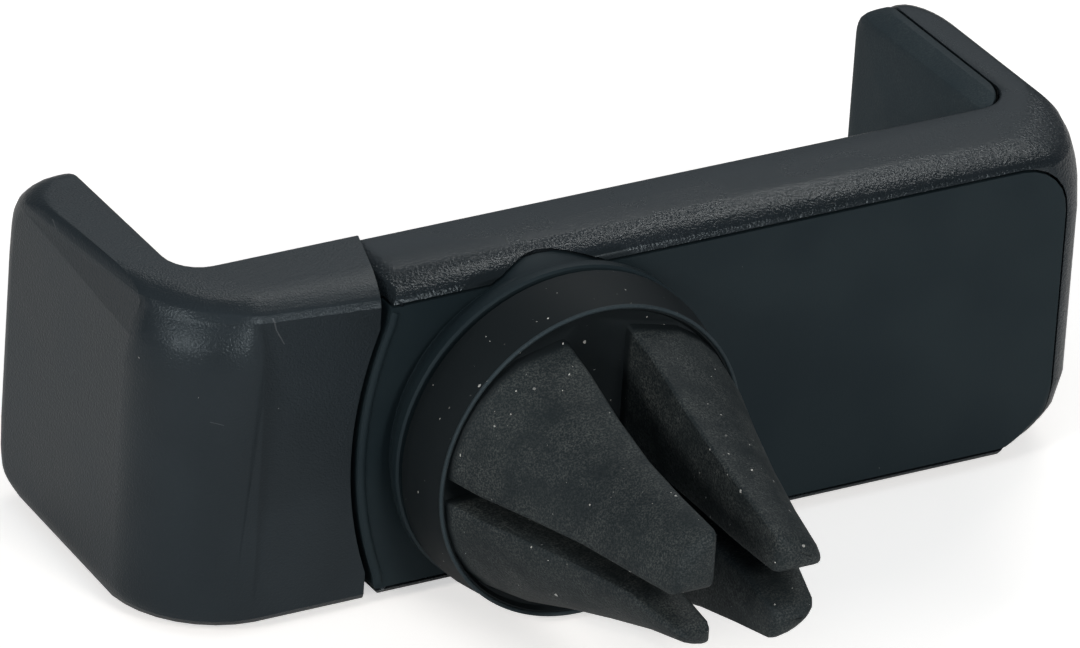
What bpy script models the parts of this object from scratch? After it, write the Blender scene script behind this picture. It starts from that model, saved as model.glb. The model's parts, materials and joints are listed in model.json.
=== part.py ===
"""Air vent phone holder: a spring-loaded jaw that slides out of an L-shaped body, on a slotted rubber vent clip.

Lengths are in metres. The pieces are laid out with the clip's axis at X = 0, the rear face of the body at
Y = 0 and the middle of its height at Z = 0: -Y looks at the air vent, +Y at the phone, -X at the sliding jaw.
An empty then carries them all to the part's own frame, which stands on Z = 0 with its box centred on the origin.
"""

import math

import bmesh
import bpy
from mathutils import Matrix, Vector

MM = 0.001

# Overall form
BODY_HALF_HEIGHT = 12.0 * MM
BAR_THICKNESS = 7.6 * MM
BODY_END_X = 43.9 * MM
JAW_END_X = -28.5 * MM
ARM_REACH_Y = 25.0 * MM
ARM_LEAN = 0.3 * MM
ARM_UNDERSIDE_RISE = 0.8 * MM
JAW_EXTRA_REACH = 0.3 * MM
JAW_OVERSIZE = 0.1 * MM
JAW_FRONT_STEP = 0.5 * MM

# Rounded edges, each as (depth in plan, height)
REAR_SHOULDER = (4.1 * MM, 1.2 * MM)
ARM_SHOULDER = (0.9 * MM, 1.2 * MM)
LOWER_ARM_SHOULDER = (1.6 * MM, 2.1 * MM)
TIP_ROUND = (2.6 * MM, 2.6 * MM)
INNER_ROUND = (0.4 * MM, 0.4 * MM)
BODY_CORNER = (3.3 * MM, 4.9 * MM)
JAW_CORNER = (7.0 * MM, 7.0 * MM)
TIP_CORNER = (2.4 * MM, 2.2 * MM)
TIP_CORNER_GROWTH = 2.5 * MM

# Outer corners drawn in towards the top (1) and the bottom (-1), each as (wider, deeper, flatter)
BALL_HEIGHT = 5.6 * MM
BODY_BALL = {1: (2.0 * MM, 2.0 * MM, 1.0), -1: (8.0 * MM, 11.0 * MM, 1.6)}
BODY_BALL_LIMIT = (6.2 * MM, 9.2 * MM)
JAW_BALL = {1: (0.5 * MM, 0.5 * MM, 0.9), -1: (0.0, 0.0, 0.15)}
JAW_BALL_LIMIT = (8.0 * MM, 14.0 * MM)
INNER_FILLET = 2.6 * MM

# Joint between the body and the sliding jaw
BODY_EDGE_X = -14.1 * MM
EDGE_BULGE = 1.8 * MM
EDGE_CORNER = 2.3 * MM
JAW_GAP = 0.45 * MM
JAW_TRAVEL = 26.0 * MM

# Walls and clearances
SEAM = 0.2 * MM
CLEARANCE = 0.3 * MM
FRONT_WALL = 1.3 * MM
COVER_THICKNESS = 1.6 * MM
COVER_BORDER_Z = 1.3 * MM
COVER_BORDER_X = 2.8 * MM
COVER_CORNER = 3.7 * MM
CAVITY_WALL = 2.4 * MM
CAVITY_WALL_X = 3.5 * MM

# Pads
ARM_WALL = 2.8 * MM
PAD_THICKNESS = 2.0 * MM
PAD_BEVEL = 0.9 * MM
PAD_LIP = (0.7 * MM, 1.4 * MM)
JAW_ARM_WALL = 4.7 * MM
JAW_PAD_MARGIN = 2.2 * MM
JAW_PAD_RECESS = 1.0 * MM
JAW_PAD_THICKNESS = 1.6 * MM

# Slide carriage and its springs
LUG_PROUD = 0.8 * MM
RAIL_THICKNESS = 1.2 * MM
RAIL_END_X = 36.6 * MM
LUG_LENGTH = 3.0 * MM
STOP_LENGTH = 4.0 * MM
WEB_END_X = -5.6 * MM
WEB_START_X = -23.6 * MM
SPRING_DROP = 1.5 * MM
SPRING_RADIUS = 1.25 * MM
SPRING_WIRE = 0.42 * MM
SPRING_TURNS = 21
SPRING_STEPS = 7
POST_RADIUS = 0.7 * MM
CARRIAGE_POST_X = -8.4 * MM
BODY_POST_X = 36.0 * MM
SPRING_POCKET_HALF = 1.7 * MM

# Vent clip
COLLAR_PROUD = 0.2 * MM
COLLAR_FLARE = 0.6 * MM
COLLAR_HEIGHT = 2.1 * MM
COLLAR_FLOOR = 0.2 * MM
DRUM_START_Y = -2.3 * MM
DRUM_END_Y = -6.9 * MM
DRUM_STEP = 0.1 * MM
DRUM_TAPER = 0.5 * MM
RIM_WIDTH = 0.45 * MM
RIM_DEPTH = 0.4 * MM
CLIP_TIP_Y = -27.5 * MM
FINGER_TIP_Y = -22.5 * MM
WIDE_SLOT = 4.6 * MM
NARROW_SLOT = 1.6 * MM
PETAL_STEP = 0.15 * MM
PETAL_LEAD_LENGTH = 3.4 * MM
PETAL_EDGE = 0.5 * MM
PETAL_NOSE = 0.9 * MM
RUBBER_WALL = 0.9 * MM
CORE_DISC_STEP = 1.55 * MM
DISC_GAP = 0.4 * MM
STEM_RADIUS = 3.4 * MM
STEM_BORE = 3.6 * MM
SPRING_WASHER_WIRE = 0.5 * MM
WASHER_LAP = 0.5 * MM
WASHER_THICKNESS = 0.5 * MM
SCREW_HEAD_RADIUS = 2.6 * MM
SCREW_HEAD_HEIGHT = 1.1 * MM
SWIVEL_SCREW_RADIUS = 1.25 * MM
SWIVEL_SCREW_LENGTH = 6.0 * MM

# What each petal, by its side in X and Z, has lost across and upright at these shares of the way to its tip (mm)
PETAL_TAPER = {
    (-1, 1): ((0.0, 0.0, 0.0), (0.3, 2.4, 2.4), (0.6, 4.5, 4.0), (0.86, 5.5, 4.3), (1.0, 5.9, 4.5)),
    (-1, -1): ((0.0, 0.0, 0.0), (0.3, 2.4, 2.4), (0.6, 4.5, 4.5), (0.86, 5.9, 6.2), (1.0, 6.5, 6.9)),
    (1, 1): ((0.0, 0.0, 0.0), (0.3, 2.0, 2.2), (0.6, 3.7, 4.2), (0.86, 4.9, 5.5), (1.0, 5.5, 6.1)),
    (1, -1): ((0.0, 0.0, 0.0), (0.3, 2.1, 2.2), (0.6, 3.8, 4.2), (0.86, 5.1, 5.4), (1.0, 5.9, 6.1)),
}
# How far the thin slot opens at the petals' tips (mm)
PETAL_LEAD = {(-1, 1): 0.3, (-1, -1): 1.0, (1, 1): 0.3, (1, -1): 1.0}

# Small screws
SMALL_HEAD_RADIUS = 1.5 * MM
SMALL_HEAD_HEIGHT = 0.9 * MM
SMALL_SHANK_RADIUS = 0.75 * MM
BOSS_RADIUS = 1.5 * MM
JAW_SCREW_BORDER = 3.0 * MM
PLATE_THICKNESS = 1.2 * MM
PLATE_BORDER = 4.0 * MM
PLATE_START_X = -22.4 * MM
PLATE_END_X = -14.6 * MM

# Sizes that follow from the ones above
JAW_HALF_HEIGHT = BODY_HALF_HEIGHT + JAW_OVERSIZE
COVER_HALF_HEIGHT = BODY_HALF_HEIGHT - COVER_BORDER_Z
COVER_END_X = BODY_END_X - COVER_BORDER_X
CAVITY_HALF_HEIGHT = BODY_HALF_HEIGHT - CAVITY_WALL
CAVITY_END_X = BODY_END_X - CAVITY_WALL_X
LUG_Z = CAVITY_HALF_HEIGHT - CLEARANCE
RAIL_OUTER_Z = LUG_Z - LUG_PROUD
RAIL_INNER_Z = RAIL_OUTER_Z - RAIL_THICKNESS
WEB_HALF_HEIGHT = RAIL_OUTER_Z
SPRING_Z = RAIL_INNER_Z - SPRING_DROP
PLATE_HALF_HEIGHT = BODY_HALF_HEIGHT - PLATE_BORDER
BOSS_Z = CAVITY_HALF_HEIGHT - BOSS_RADIUS - SEAM
COVER_SCREWS = ((8.2 * MM, 0.0), (26.0 * MM, 0.0), (38.6 * MM, BOSS_Z), (38.6 * MM, -BOSS_Z))
JAW_SCREW_Z = PLATE_HALF_HEIGHT - JAW_SCREW_BORDER
JAW_SCREWS = ((-18.0 * MM, JAW_SCREW_Z), (-18.0 * MM, -JAW_SCREW_Z))
WASHER_RADIUS = STEM_BORE + WASHER_LAP
COLLAR_RADIUS = BODY_HALF_HEIGHT + COLLAR_PROUD
COLLAR_BASE_RADIUS = COLLAR_RADIUS - COLLAR_FLARE
DRUM_RADIUS = COLLAR_RADIUS - DRUM_STEP
DRUM_END_RADIUS = DRUM_RADIUS - DRUM_TAPER
CORE_DISC_RADIUS = DRUM_END_RADIUS - CORE_DISC_STEP
COLLAR_BORE = CORE_DISC_RADIUS + DISC_GAP
PETAL_BASE_RADIUS = DRUM_END_RADIUS - WIDE_SLOT / 2 - PETAL_STEP
JAW_FRONT_Y = BAR_THICKNESS + JAW_FRONT_STEP
JAW_REACH_Y = ARM_REACH_Y + JAW_EXTRA_REACH
CAVITY_FRONT_Y = BAR_THICKNESS - FRONT_WALL
CARRIAGE_REAR_Y = COVER_THICKNESS + CLEARANCE
CARRIAGE_FRONT_Y = CAVITY_FRONT_Y - CLEARANCE
SPRING_Y = CARRIAGE_REAR_Y + SPRING_RADIUS + SPRING_WIRE / 2 + 0.1 * MM
PAD_FACE_X = BODY_END_X - ARM_WALL - SEAM - PAD_THICKNESS
FAR = 80 * MM


def clear_scene():
    for obj in list(bpy.data.objects):
        bpy.data.objects.remove(obj)


def plastic(name, color, roughness, metallic=0.0):
    material = bpy.data.materials.new(name)
    material.use_nodes = True
    shader = material.node_tree.nodes["Principled BSDF"]
    shader.inputs["Base Color"].default_value = (*color, 1)
    shader.inputs["Roughness"].default_value = roughness
    shader.inputs["Metallic"].default_value = metallic
    material.diffuse_color = (*color, 1)
    return material


def finish(name, bm, material=None):
    """Turns the bmesh into a named object, with its normals out."""
    bmesh.ops.recalc_face_normals(bm, faces=bm.faces)
    if bm.calc_volume(signed=True) < 0:
        bmesh.ops.reverse_faces(bm, faces=bm.faces)
    mesh = bpy.data.meshes.new(name)
    bm.to_mesh(mesh)
    bm.free()
    if material:
        mesh.materials.append(material)
    mesh.shade_smooth()
    mesh.set_sharp_from_angle(angle=math.radians(35))
    obj = bpy.data.objects.new(name, mesh)
    bpy.context.scene.collection.objects.link(obj)
    return obj


def loft(rings):
    """A closed solid through rings that all have the same number of points."""
    bm = bmesh.new()
    loops = [[bm.verts.new(point) for point in ring] for ring in rings]
    for lower, upper in zip(loops, loops[1:]):
        for i in range(len(lower)):
            j = (i + 1) % len(lower)
            bm.faces.new((lower[i], lower[j], upper[j], upper[i]))
    bm.faces.new(loops[0])
    bm.faces.new(loops[-1])
    return bm


def box(name, low, high, material=None):
    bm = bmesh.new()
    size = Vector(high) - Vector(low)
    middle = (Vector(high) + Vector(low)) / 2
    bmesh.ops.create_cube(bm, size=1, matrix=Matrix.Translation(middle) @ Matrix.Diagonal((*size, 1)))
    return finish(name, bm, material)


def turned(name, profile, x=0.0, z=0.0, steps=48, material=None):
    """A solid turned round an axis along Y through (x, z). The profile is a list of (radius, y), from end to end."""
    rings = []
    for radius, y in profile:
        angles = (math.tau * i / steps for i in range(steps))
        rings.append([Vector((x + radius * math.cos(a), y, z + radius * math.sin(a))) for a in angles])
    return finish(name, loft(rings), material)


def combine(target, operation, other):
    """Leaves the other object behind as a hidden guide of this one."""
    modifier = target.modifiers.new(f"{operation.lower()} {other.name}", "BOOLEAN")
    modifier.operation = operation
    modifier.solver = "EXACT"
    modifier.object = other
    other.hide_render = True
    other.display_type = "WIRE"


def cut(target, *others):
    for other in others:
        combine(target, "DIFFERENCE", other)


def join(target, *others):
    for other in others:
        combine(target, "UNION", other)


def keep(target, *others):
    for other in others:
        combine(target, "INTERSECT", other)


def corner(centre, radii, start, end, steps=6):
    """Points of an elliptical arc in plan, from one angle to the other in degrees."""
    points = []
    for i in range(steps + 1):
        angle = math.radians(start + (end - start) * i / steps)
        points.append((centre[0] + radii[0] * math.cos(angle), centre[1] + radii[1] * math.sin(angle)))
    return points


def shoulder(radii, z, half_height):
    """How far a face has drawn in at this height, on an elliptical edge of this depth and height."""
    rise = (abs(z) - (half_height - radii[1])) / radii[1]
    return radii[0] * (1 - math.sqrt(1 - min(max(rise, 0), 1) ** 2))


def rounded_levels(half_height):
    """Heights close together where the edges curve."""
    heights = {0.0}
    for depth, height in (REAR_SHOULDER, LOWER_ARM_SHOULDER, TIP_ROUND, INNER_ROUND, (0, BALL_HEIGHT)):
        for share in (0, 0.4, 0.7, 0.9, 1):
            heights.add(round(half_height - height * (1 - share), 6))
    return sorted(-z for z in heights if z) + sorted(heights)


def outer_turn(out_x, rear, radii, ball, limit, share):
    """The rear outer corner in plan: wider and flatter as the share goes to 1, but no wider or deeper than the limit."""
    wider, deeper, flatter = ball
    round_x = min(radii[0] + share * wider, limit[0])
    round_y = min(radii[1] + share * deeper, limit[1] - rear)
    arc = corner((out_x - round_x, rear + round_y), (round_x, round_y), 0, -90, 8)
    flat = min(1.0, flatter * share)
    points = []
    for i, (x, y) in enumerate(arc):
        along = i / (len(arc) - 1)
        chord_x, chord_y = out_x - round_x * along, rear + round_y * (1 - along)
        points.append((x + (chord_x - x) * flat, y + (chord_y - y) * flat))
    return points


def hooked_form(end_x, wall, front_y, reach_y, half_height, outer_corner, far_x, arm_round, balls, limit):
    """A bar with an arm at its +X end, as a stack of plan outlines whose edges draw in towards top and bottom.

    The arm's inner face is rounded there by arm_round times the bar's own inner rounding. The rear outer corner
    turns into a ball corner towards the top (balls[1]) and the bottom (balls[-1]).
    """
    rings = []
    for z in rounded_levels(half_height):
        rear = shoulder(REAR_SHOULDER, z, half_height)
        side = shoulder(ARM_SHOULDER if z > 0 else LOWER_ARM_SHOULDER, z, half_height)
        tip_y = reach_y - shoulder(TIP_ROUND, z, half_height)
        inner = shoulder(INNER_ROUND, z, half_height)
        out_x = end_x - side
        in_x = end_x - wall + arm_round * inner
        front = front_y - inner
        grown = shoulder((TIP_CORNER_GROWTH, 2 * TIP_ROUND[1]), z, half_height)
        tip_x, tip_y_radius = TIP_CORNER[0] + grown, TIP_CORNER[1] + grown
        tip_x = min(tip_x, 0.75 * (out_x - in_x))
        share = shoulder((1, BALL_HEIGHT), z, half_height)
        outline = [(far_x, rear), (far_x, front)]
        outline += corner((in_x - INNER_FILLET, front + INNER_FILLET), (INNER_FILLET,) * 2, -90, 0)
        outline += corner((in_x + 0.5 * MM, tip_y - 0.5 * MM), (0.5 * MM,) * 2, 180, 90, 3)
        outline += corner((out_x - tip_x, tip_y - tip_y_radius), (tip_x, tip_y_radius), 90, 0)
        outline += outer_turn(out_x, rear, outer_corner, balls[1 if z > 0 else -1], limit, share)
        ring = []
        for x, y in outline:
            along = max(0.0, (y - front_y) / (reach_y - front_y))
            lift = ARM_UNDERSIDE_RISE * along * max(0.0, -z) / half_height
            ring.append(Vector((x - ARM_LEAN * along, y, z + lift)))
        rings.append(ring)
    return loft(rings)


def mirrored(bm):
    bmesh.ops.scale(bm, vec=(-1, 1, 1), verts=bm.verts)
    return bm


def edge_line(offset, half_height):
    """The bulging outline of the body's left end in the XZ plane, moved by offset towards the jaw."""
    corner_x = BODY_EDGE_X + EDGE_BULGE
    points = []
    steps = 20
    reach = half_height - EDGE_CORNER
    for i in range(steps + 1):
        share = -1 + 2 * i / steps
        bulge = EDGE_BULGE * (1 - share * share)
        points.append(Vector((corner_x - bulge - offset, 0, share * reach)))
    turn = []
    for i in range(1, 6):
        angle = math.radians(90 * i / 5)
        sweep_x = corner_x - offset + EDGE_CORNER * (1 - math.cos(angle))
        turn.append(Vector((sweep_x, 0, reach + EDGE_CORNER * math.sin(angle))))
    mirrored_turn = [Vector((p.x, 0, -p.z)) for p in reversed(turn)]
    return mirrored_turn + points + turn


def edge_cutter(name, offset, half_height, far_x):
    """Everything between the body's left edge and far_x, right through the bar in Y."""
    line = edge_line(offset, half_height)
    top = Vector((line[-1].x, 0, half_height + 5 * MM))
    bottom = Vector((line[0].x, 0, -half_height - 5 * MM))
    outline = [bottom, *line, top, Vector((far_x, 0, top.z)), Vector((far_x, 0, bottom.z))]
    rings = [[Vector((p.x, y, p.z)) for p in outline] for y in (-10 * MM, 50 * MM)]
    return finish(name, loft(rings))


def cover_plate(name, low_y, high_y, grow):
    """The rear cover's outline, rounded at its right corners, between two Y planes."""
    right = COVER_END_X + grow
    top = COVER_HALF_HEIGHT + grow
    radius = COVER_CORNER + grow
    outline = [(-20 * MM, -top)]
    outline += corner((right - radius, -top + radius), (radius,) * 2, -90, 0)
    outline += corner((right - radius, top - radius), (radius,) * 2, 0, 90)
    outline += [(-20 * MM, top)]
    rings = [[Vector((x, y, z)) for x, z in outline] for y in (low_y, high_y)]
    return finish(name, loft(rings))


def body_form():
    return hooked_form(BODY_END_X, ARM_WALL, BAR_THICKNESS, ARM_REACH_Y, BODY_HALF_HEIGHT, BODY_CORNER,
                       -30 * MM, 0, BODY_BALL, BODY_BALL_LIMIT)


def body_frame(material):
    body = finish("body_frame", body_form(), material)
    keep(body, edge_cutter("body_edge", 0, BODY_HALF_HEIGHT, FAR))
    cut(body, cover_plate("cover_recess", -5 * MM, COVER_THICKNESS + SEAM, SEAM))
    notch = COLLAR_BASE_RADIUS + SEAM
    cut(body, turned("collar_notch", [(notch, -5 * MM), (notch, COVER_THICKNESS + SEAM)], steps=72))
    cut(body, box("slide_cavity", (-30 * MM, 0.5 * MM, -CAVITY_HALF_HEIGHT),
                  (CAVITY_END_X, CAVITY_FRONT_Y, CAVITY_HALF_HEIGHT)))
    stop_end = RAIL_END_X - LUG_LENGTH - JAW_TRAVEL - CLEARANCE / 2
    for side in (-1, 1):
        low, high = sorted((side * (RAIL_OUTER_Z + CLEARANCE), side * (CAVITY_HALF_HEIGHT + CLEARANCE)))
        join(body, box(f"stop_{side}", (stop_end - STOP_LENGTH, COVER_THICKNESS + 2 * SEAM, low),
                       (stop_end, CAVITY_FRONT_Y + CLEARANCE, high)))
        join(body, turned(f"spring_post_{side}",
                          [(POST_RADIUS, COVER_THICKNESS + 2 * SEAM), (POST_RADIUS, CAVITY_FRONT_Y + CLEARANCE)],
                          BODY_POST_X, side * SPRING_Z, 16))
    for number, (x, z) in enumerate(COVER_SCREWS):
        cut(body, turned(f"cover_screw_hole_{number}", screw_hole(BAR_THICKNESS, FRONT_WALL + CLEARANCE), x, z, 20))
    return body


def screw_hole(face_y, depth):
    """A counterbored hole from this face down, for one of the small screws."""
    seat = face_y - SMALL_HEAD_HEIGHT - CLEARANCE
    return [(SMALL_SHANK_RADIUS + CLEARANCE, face_y - depth - 1 * MM), (SMALL_SHANK_RADIUS + CLEARANCE, seat),
            (SMALL_HEAD_RADIUS + CLEARANCE, seat), (SMALL_HEAD_RADIUS + CLEARANCE, face_y + 1 * MM)]


def rear_cover(material):
    cover = cover_plate("rear_cover", 0, COVER_THICKNESS, 0)
    cover.data.materials.append(material)
    shell = finish("cover_shell", body_form())
    shell.location.y = -0.05 * MM
    keep(cover, shell)
    collar = [(COLLAR_RADIUS - 0.15 * MM, -COLLAR_HEIGHT), (COLLAR_RADIUS, -COLLAR_HEIGHT + 0.15 * MM),
              (COLLAR_RADIUS, -0.6 * COLLAR_HEIGHT), (COLLAR_RADIUS - 0.4 * COLLAR_FLARE, -0.4 * COLLAR_HEIGHT),
              (COLLAR_BASE_RADIUS, -0.1 * COLLAR_HEIGHT), (COLLAR_BASE_RADIUS, COVER_THICKNESS)]
    join(cover, turned("collar", collar, steps=72))
    keep(cover, edge_cutter("cover_edge", -0.02 * MM, BODY_HALF_HEIGHT, FAR))
    cut(cover, turned("collar_bore", [(COLLAR_BORE, -5 * MM), (COLLAR_BORE, COLLAR_FLOOR)], steps=48))
    cut(cover, turned("stem_bore", [(STEM_BORE, -5 * MM), (STEM_BORE, 5 * MM)], steps=40))
    for number, (x, z) in enumerate(COVER_SCREWS):
        end_y = CAVITY_FRONT_Y - CLEARANCE
        join(cover, turned(f"boss_{number}", [(BOSS_RADIUS, COVER_THICKNESS / 2), (BOSS_RADIUS, end_y)], x, z, 20))
        cut(cover, turned(f"boss_bore_{number}", [(SMALL_SHANK_RADIUS + 0.1 * MM, COVER_THICKNESS + CLEARANCE),
                                                 (SMALL_SHANK_RADIUS + 0.1 * MM, 10 * MM)], x, z, 20))
    return cover


def fixed_jaw_pad(material):
    """A rubber lining over the fixed arm's inner face, as high as the arm, with bevelled edges."""
    rings = []
    outer_x = BODY_END_X - ARM_WALL - SEAM
    for z in rounded_levels(BODY_HALF_HEIGHT):
        tip_y = ARM_REACH_Y - shoulder(TIP_ROUND, z, BODY_HALF_HEIGHT)
        bevel = max(0.0, abs(z) - (BODY_HALF_HEIGHT - PAD_BEVEL)) * PAD_THICKNESS * 0.7 / PAD_BEVEL
        low_y = BAR_THICKNESS + SEAM + shoulder(INNER_ROUND, z, BODY_HALF_HEIGHT)
        face = PAD_FACE_X + bevel
        fillet = INNER_FILLET - SEAM
        fillet_x, fillet_y = outer_x + SEAM - INNER_FILLET, low_y - SEAM + INNER_FILLET
        reach = math.degrees(math.acos((face - fillet_x) / fillet))
        outline = []
        lip_x = min(PAD_LIP[0], 0.9 * (outer_x - face))
        outline += corner((face + lip_x, tip_y - PAD_LIP[1]), (lip_x, PAD_LIP[1]), 180, 90)
        outline += [(outer_x, tip_y)]
        outline += corner((fillet_x, fillet_y), (fillet, fillet), 0, -reach)
        ring = []
        for x, y in outline:
            along = max(0.0, (y - BAR_THICKNESS) / (ARM_REACH_Y - BAR_THICKNESS))
            lift = ARM_UNDERSIDE_RISE * along * max(0.0, -z) / BODY_HALF_HEIGHT
            ring.append(Vector((x - ARM_LEAN * along, y, z + lift)))
        rings.append(ring)
    return finish("fixed_jaw_pad", loft(rings), material)


def sliding_jaw(material):
    form = hooked_form(-JAW_END_X, JAW_ARM_WALL, JAW_FRONT_Y, JAW_REACH_Y, JAW_HALF_HEIGHT, JAW_CORNER,
                       0, 1, JAW_BALL, JAW_BALL_LIMIT)
    jaw = finish("sliding_jaw", mirrored(form), material)
    keep(jaw, edge_cutter("jaw_edge", JAW_GAP, BODY_HALF_HEIGHT, -FAR))
    pocket_z = WEB_HALF_HEIGHT + CLEARANCE
    cut(jaw, box("jaw_pocket", (WEB_START_X - CLEARANCE, COVER_THICKNESS, -pocket_z), (0, CAVITY_FRONT_Y, pocket_z)))
    grow = SEAM
    cut(jaw, box("plate_recess", (PLATE_START_X - grow, CAVITY_FRONT_Y - 1 * MM, -PLATE_HALF_HEIGHT - grow),
                 (PLATE_END_X + grow, JAW_FRONT_Y + 1 * MM, PLATE_HALF_HEIGHT + grow)))
    cut(jaw, jaw_pad_block("jaw_pad_recess", 0, JAW_PAD_RECESS + 5 * MM))
    return jaw


def jaw_pad_block(name, shrink, thickness, material=None):
    """The sliding jaw's pad, or its recess, on the inner face of the arm."""
    back = JAW_END_X + JAW_ARM_WALL - JAW_PAD_RECESS + shrink
    low_y = JAW_FRONT_Y + INNER_FILLET + shrink
    high_y = ARM_REACH_Y - JAW_PAD_MARGIN - shrink
    half = BODY_HALF_HEIGHT - JAW_PAD_MARGIN - shrink
    radius = 2.6 * MM - shrink
    outline = []
    for y, z, start in ((low_y, -half, 180), (high_y, -half, 270), (high_y, half, 0), (low_y, half, 90)):
        centre = (y + math.copysign(radius, 1 if y == low_y else -1), z - math.copysign(radius, z))
        outline += corner(centre, (radius, radius), start, start + 90, 4)
    rings = [[Vector((back + depth, y, z)) for y, z in outline] for depth in (0, thickness)]
    return finish(name, loft(rings), material)


def sliding_jaw_pad(material):
    return jaw_pad_block("sliding_jaw_pad", SEAM, JAW_PAD_THICKNESS, material)


def slide_carriage(material):
    """A fork that carries the jaw: a web in the jaw, and two rails that run above and below the clip's hub."""
    low_y, high_y = CARRIAGE_REAR_Y, CARRIAGE_FRONT_Y
    carriage = box("slide_carriage", (WEB_START_X, low_y, -WEB_HALF_HEIGHT), (WEB_END_X, high_y, WEB_HALF_HEIGHT), material)
    for side in (-1, 1):
        low, high = sorted((side * RAIL_INNER_Z, side * RAIL_OUTER_Z))
        join(carriage, box(f"rail_{side}", (WEB_END_X - 2 * MM, low_y, low), (RAIL_END_X, high_y, high)))
        low, high = sorted((side * RAIL_INNER_Z, side * LUG_Z))
        join(carriage, box(f"lug_{side}", (RAIL_END_X - LUG_LENGTH, low_y, low), (RAIL_END_X, high_y, high)))
        low, high = sorted((side * (SPRING_Z - SPRING_POCKET_HALF), side * (SPRING_Z + SPRING_POCKET_HALF)))
        floor_y = SPRING_Y + SPRING_RADIUS + SPRING_WIRE
        cut(carriage, box(f"spring_pocket_{side}", (CARRIAGE_POST_X - SPRING_POCKET_HALF, 0, low),
                          (WEB_END_X + 1 * MM, floor_y, high)))
        join(carriage, turned(f"carriage_post_{side}", [(POST_RADIUS, low_y), (POST_RADIUS, floor_y + CLEARANCE)],
                              CARRIAGE_POST_X, side * SPRING_Z, 16))
    for number, (x, z) in enumerate(JAW_SCREWS):
        cut(carriage, turned(f"jaw_screw_bore_{number}", [(SMALL_SHANK_RADIUS + 0.1 * MM, 0),
                                                         (SMALL_SHANK_RADIUS + 0.1 * MM, 10 * MM)], x, z, 20))
    return carriage


def tension_spring(name, side, material):
    """A coil along X with a loop round a post at each end."""
    loop = POST_RADIUS + 0.15 * MM + SPRING_WIRE / 2
    start_x = CARRIAGE_POST_X + 2.2 * MM
    end_x = BODY_POST_X - 2.2 * MM
    points = []
    for i in range(13):
        angle = math.radians(300 * i / 12)
        points.append(Vector((CARRIAGE_POST_X + loop * math.cos(angle + math.radians(60)), 0,
                              loop * math.sin(angle + math.radians(60)))))
    steps = SPRING_TURNS * SPRING_STEPS
    for i in range(steps + 1):
        angle = math.tau * i / SPRING_STEPS
        points.append(Vector((start_x + (end_x - start_x) * i / steps, SPRING_RADIUS * math.sin(angle),
                              -SPRING_RADIUS * math.cos(angle))))
    for i in range(13):
        angle = math.radians(240 + 300 * i / 12)
        points.append(Vector((BODY_POST_X + loop * math.cos(angle), 0, loop * math.sin(angle))))
    curve = bpy.data.curves.new(name, "CURVE")
    curve.dimensions = "3D"
    curve.bevel_depth = SPRING_WIRE / 2
    curve.bevel_resolution = 0
    curve.use_fill_caps = True
    spline = curve.splines.new("POLY")
    spline.points.add(len(points) - 1)
    for target, point in zip(spline.points, points):
        target.co = (point.x, point.y + SPRING_Y, side * (SPRING_Z + point.z), 1)
    curve.materials.append(material)
    obj = bpy.data.objects.new(name, curve)
    bpy.context.scene.collection.objects.link(obj)
    return obj


def jaw_front_plate(material):
    low = (PLATE_START_X, CAVITY_FRONT_Y, -PLATE_HALF_HEIGHT)
    plate = box("jaw_front_plate", low, (PLATE_END_X, JAW_FRONT_Y, PLATE_HALF_HEIGHT), material)
    for number, (x, z) in enumerate(JAW_SCREWS):
        cut(plate, turned(f"plate_hole_{number}", screw_hole(JAW_FRONT_Y, PLATE_THICKNESS + 2 * MM), x, z, 20))
    return plate


def small_screw(name, x, z, face_y, length, material):
    """A countersunk-deep pan head with a plain shank, driven in from the phone side."""
    top = face_y - CLEARANCE / 2
    seat = top - SMALL_HEAD_HEIGHT
    profile = [(SMALL_SHANK_RADIUS * 0.5, seat - length), (SMALL_SHANK_RADIUS, seat - length + 0.4 * MM),
               (SMALL_SHANK_RADIUS, seat), (SMALL_HEAD_RADIUS, seat), (SMALL_HEAD_RADIUS, top - 0.35 * MM),
               (SMALL_HEAD_RADIUS * 0.8, top)]
    screw = turned(name, profile, x, z, 14, material)
    for turn in (0, 90):
        cross = box(f"{name}_drive_{turn}", (-0.95 * MM, top - 0.5 * MM, -0.16 * MM), (0.95 * MM, top + 1 * MM, 0.16 * MM))
        cross.matrix_world = Matrix.Translation((x, 0, z)) @ Matrix.Rotation(math.radians(turn), 4, "Y")
        cut(screw, cross)
    return screw


def petal_reach(side, y):
    """The petal's reach across and upright here, from how much it has lost at set shares of the way to the tip."""
    share = max(0.0, (y - DRUM_END_Y) / (CLIP_TIP_Y - DRUM_END_Y))
    stations = PETAL_TAPER[side]
    for before, after in zip(stations, stations[1:]):
        if share <= after[0] or after is stations[-1]:
            part = (share - before[0]) / (after[0] - before[0])
            across = before[1] + (after[1] - before[1]) * part
            upright = before[2] + (after[2] - before[2]) * part
            return PETAL_BASE_RADIUS - across * MM, PETAL_BASE_RADIUS - upright * MM


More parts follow.
